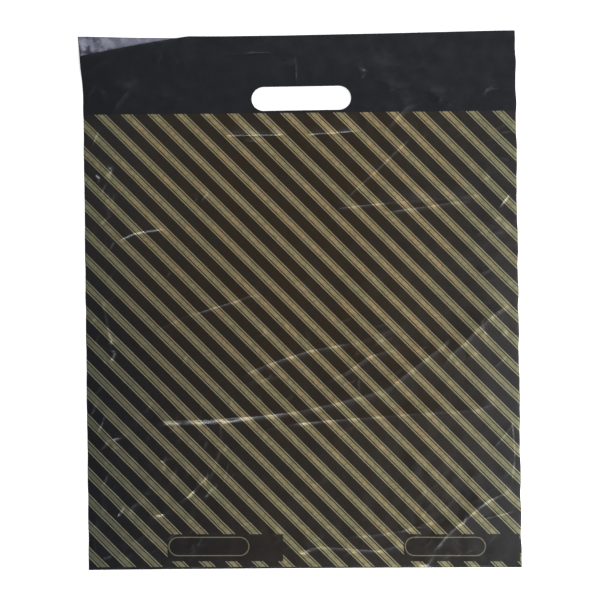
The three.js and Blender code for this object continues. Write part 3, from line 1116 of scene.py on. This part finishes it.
# ramps over the print: from one place to another in millimetres, and the shares at both
# the warm ramps leave the black cool towards the sides and the bottom: a painted reflection of the sky
WARM_LEFT = (-215.0, -125.0, 0.15, 1.0)
WARM_RIGHT = (120.0, 190.0, 1.0, 0.35)
WARM_LOW = (-420.0, -180.0, 0.55, 1.0)
# painted shade: darker towards the lower left
SHADED_LEFT = (-190.0, -20.0, 1.0, 0.0)
SHADED_LOW = (-250.0, -80.0, 1.0, 0.0)
# painted sheen: the black paler at the upper left and the upper right
SHEEN_LEFT = (-190.0, -60.0, 0.7, 0.0)
SHEEN_LEFT_HIGH = (-190.0, -90.0, 0.0, 1.0)
SHEEN_RIGHT = (40.0, 150.0, 0.0, 0.5)
SHEEN_RIGHT_HIGH = (-260.0, -150.0, 0.0, 1.0)
# painted shade: the gold duller at the far right
SHADED_RIGHT = (120.0, 195.0, 0.0, 0.36)
# strength of the painted shade at the lower left
SHADED_SHARE = 0.8
RUNG_SHARE = 0.16
# kinds of noise: size, detail and roughness, then the range it is spread over
BLACK_MOTTLE = (26.0, 3.0, 0.5), (0.35, 0.65, 0.75, 1.05)
GOLD_DRIFT = (17.0, 4.0, 0.62), (0.38, 0.62, 0.35, 1.1)
GOLD_WEAR = (3.5, 3.0, 0.65), (0.35, 0.7, 0.0, 0.75)


def zone(tree, across, up, sideways, upwards):
    """A ramp across the print times a ramp up it."""
    share = spread_range(tree, across, *sideways)
    return calc(tree, "MULTIPLY", share, spread_range(tree, up, *upwards))


def warm_middle(tree, across, up):
    """1 over the middle of the print, where it is warmest, and less towards the sides and the bottom, where
    the black's cool tint is a painted reflection of the sky.
    """
    right = spread_range(tree, across, *WARM_RIGHT)
    return calc(tree, "MULTIPLY", zone(tree, across, up, WARM_LEFT, WARM_LOW), right)


def black_colour(tree, place, across, up, field, middle, painted_shade):
    warm = calc(tree, "MULTIPLY", calc(tree, "MULTIPLY", field, middle), clouds(tree, place, BLACK_MOTTLE))
    # where the warm share falls off, the cool black is a painted reflection of the sky
    black = blend_colours(tree, warm, BLACK_COOL, BLACK_WARM)
    # painted shade darkens the black at the lower left
    black = blend_colours(tree, painted_shade, black, BLACK_SHADED)
    # painted sheen pales the black at the upper sides
    left = zone(tree, across, up, SHEEN_LEFT, SHEEN_LEFT_HIGH)
    right = zone(tree, across, up, SHEEN_RIGHT, SHEEN_RIGHT_HIGH)
    painted_sheen = calc(tree, "MULTIPLY", field, calc(tree, "ADD", left, right))
    return blend_colours(tree, painted_sheen, black, BLACK_SHEEN)


def gold_colour(tree, place, across, rung, middle, painted_shade):
    bronze = calc(tree, "MULTIPLY", clouds(tree, place, GOLD_DRIFT), middle)
    gold = blend_colours(tree, bronze, GOLD_OLIVE, GOLD_BRONZE)
    worn = calc(tree, "ADD", clouds(tree, place, GOLD_WEAR), calc(tree, "MULTIPLY", rung, RUNG_SHARE))
    gold = blend_colours(tree, worn, gold, GOLD_DULL)
    # painted shade dulls the gold at the lower left and at the far right
    shaded_gold = calc(tree, "ADD", painted_shade, spread_range(tree, across, *SHADED_RIGHT))
    return blend_colours(tree, shaded_gold, gold, GOLD_SHADED)


print("ramps of the tint from %.0f to %.0f mm" % (WARM_LEFT[0], WARM_RIGHT[1]))

# %% [markdown]
# ### Materials
#
# The printed film shines a little more where it is bare, and the ink a little like metal. The inside of the
# bag and the patches are the same film without print. At the open corner the inside shows as a pale,
# blotched triangle: its pale grey-violet colour is a painted sheen, and its dark blotches at the bag's left
# end are painted shade.

# %% Materials of the film and the patches
FILM_SHINE = 0.56  # a little glossier than the usual half for plastic
FILM_IOR = 1.5
FILM_HAZE = (12.0, 3.0, 0.5), (0.3, 0.7, 0.24, 0.31)
INK_ROUGHER = 0.09
INK_METAL = 0.5
PRINTED_CRINKLE = 0.10
PLAIN_CRINKLE = 0.22
PLAIN_BLOTCH = (9.0, 3.0, 0.5), (0.42, 0.56, 0.0, 1.0)
# the blotches are evened out but at the bag's left end, which is at the right of the back's mirrored map:
# there they darken the inner film as painted shade
EVENED = (155.0, 190.0, 0.7, 0.0)
BLOTCH_GLOSS = 0.05


def printed_film():
    material, tree, surface = new_material("printed_film")
    across, up, place = print_place(tree)
    band, line, field, rung = print_masks(tree, across, up)
    middle = warm_middle(tree, across, up)
    # painted shade at the lower left of the print
    painted_shade = calc(tree, "MULTIPLY", zone(tree, across, up, SHADED_LEFT, SHADED_LOW), SHADED_SHARE)
    black = black_colour(tree, place, across, up, field, middle, painted_shade)
    gold = gold_colour(tree, place, across, rung, middle, painted_shade)
    with_band = blend_colours(tree, band, black, gold)
    thin_gold = blend_colours(tree, middle, LINE_OLIVE, LINE_GOLD)
    tree.links.new(blend_colours(tree, line, with_band, thin_gold), surface.inputs["Base Color"])
    ink = calc(tree, "MAXIMUM", band, line)
    haze = calc(tree, "ADD", clouds(tree, place, FILM_HAZE), calc(tree, "MULTIPLY", ink, INK_ROUGHER))
    tree.links.new(haze, surface.inputs["Roughness"])
    tree.links.new(calc(tree, "MULTIPLY", ink, INK_METAL), surface.inputs["Metallic"])
    surface.inputs["IOR"].default_value = FILM_IOR
    surface.inputs["Specular IOR Level"].default_value = FILM_SHINE
    crinkle(tree, surface, place, PRINTED_CRINKLE)
    return material


def plain_film(name, colour, dark, roughness):
    """Film without print, blotched, and most so at the open corner, where on the inner film the blotches
    are painted shade and the pale colour a painted sheen.
    """
    material, tree, surface = new_material(name)
    across, _, place = print_place(tree)
    blotch = clouds(tree, place, PLAIN_BLOTCH)
    blotch = calc(tree, "MAXIMUM", blotch, spread_range(tree, across, *EVENED))
    tree.links.new(blend_colours(tree, blotch, dark, colour), surface.inputs["Base Color"])
    haze = spread_range(tree, blotch, 0.0, 1.0, roughness - BLOTCH_GLOSS, roughness + BLOTCH_GLOSS)
    tree.links.new(haze, surface.inputs["Roughness"])
    surface.inputs["IOR"].default_value = FILM_IOR
    crinkle(tree, surface, place, PLAIN_CRINKLE)
    return material


printed = printed_film()
# the inner film's pale grey-violet is a painted sheen, and its dark blotches painted shade
inner = plain_film("inner_film", (0.205, 0.198, 0.250), (0.036, 0.037, 0.058), 0.38)
patch_film = plain_film("patch_film", (0.022, 0.022, 0.027), (0.014, 0.014, 0.018), 0.42)
bag_mesh.materials.append(printed)
bag_mesh.materials.append(inner)
for piece in (front_patch, back_patch):
    piece.data.materials.append(patch_film)
    piece.data.materials.append(patch_film)
print("materials:", [m.name for m in bpy.data.materials])

# %% [markdown]
# ## Shading
#
# A glint is narrower than a crease, so the least unevenness of the triangles would break it into
# dots. The shading of the printed front is therefore taken from the height formula itself, as the
# slope at each point. A cut edge keeps the flat shading of its own faces, or it would look like a
# rounded lip.

# %% Thickness made real, and shading from the formula
SLOPE_STEP = 0.15  # distance over which a slope is measured
CUT_EDGE = 0.3  # faces that look less upwards or downwards than this are cut edges


def make_solid(piece):
    """Turns the thickness into faces of the mesh."""
    view = bpy.context.evaluated_depsgraph_get()
    evaluated = piece.evaluated_get(view)
    whole = bpy.data.meshes.new_from_object(evaluated, preserve_all_data_layers=True, depsgraph=view)
    piece.modifiers.clear()
    piece.data = whole
    return whole


def values(items, name, kind, width=1):
    """One property of all items of a mesh, as an array."""
    store = np.zeros(len(items) * width, kind)
    items.foreach_get(name, store)
    return store.reshape(-1, width) if width > 1 else store


def front_normals(x, y):
    step = SLOPE_STEP
    slope_x = (front_height(x + step, y) - front_height(x - step, y)) / (2 * step)
    slope_y = (front_height(x, y + step) - front_height(x, y - step)) / (2 * step)
    normals = np.stack([-slope_x, -slope_y, np.ones(x.shape)], 1)
    return normals / np.linalg.norm(normals, axis=1, keepdims=True)


def shade(mesh, is_front):
    """Flat cut edges, and on the bag the printed front shaded by the formula."""
    face_normals = values(mesh.polygons, "normal", np.float32, 3)
    corner_counts = values(mesh.polygons, "loop_total", np.int32)
    face_of_corner = np.repeat(np.arange(len(mesh.polygons)), corner_counts)
    normals = values(mesh.corner_normals, "vector", np.float32, 3)
    cut = (np.abs(face_normals[:, 2]) < CUT_EDGE)[face_of_corner]
    normals[cut] = face_normals[face_of_corner][cut]
    if is_front:
        printed_faces = values(mesh.polygons, "material_index", np.int32) == 0
        corners = np.nonzero((printed_faces & (face_normals[:, 2] > CUT_EDGE))[face_of_corner])[0]
        corner_points = values(mesh.loops, "vertex_index", np.int32)[corners]
        points, first, same = np.unique(corner_points, return_index=True, return_inverse=True)
        film_places = values(mesh.uv_layers["film"].data, "uv", np.float32, 2)[corners]
        places = film_places[first].astype(float) / MM
        normals[corners] = front_normals(places[:, 0], places[:, 1])[same]
        print("shaded by the formula:", len(points), "points")
    mesh.normals_split_custom_set(normals.tolist())


for piece in (bag, front_patch, back_patch):
    whole = make_solid(piece)
    shade(whole, piece is bag)
    print(piece.name, len(whole.polygons), "faces,", len(whole.loop_triangles), "triangles")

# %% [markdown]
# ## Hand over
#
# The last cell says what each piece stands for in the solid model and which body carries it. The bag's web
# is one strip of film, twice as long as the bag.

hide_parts("bag_film")
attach(bag, "root")
for piece, node in ((front_patch, "front_handle_patch"), (back_patch, "back_handle_patch")):
    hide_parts(node)
    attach(piece, "root")
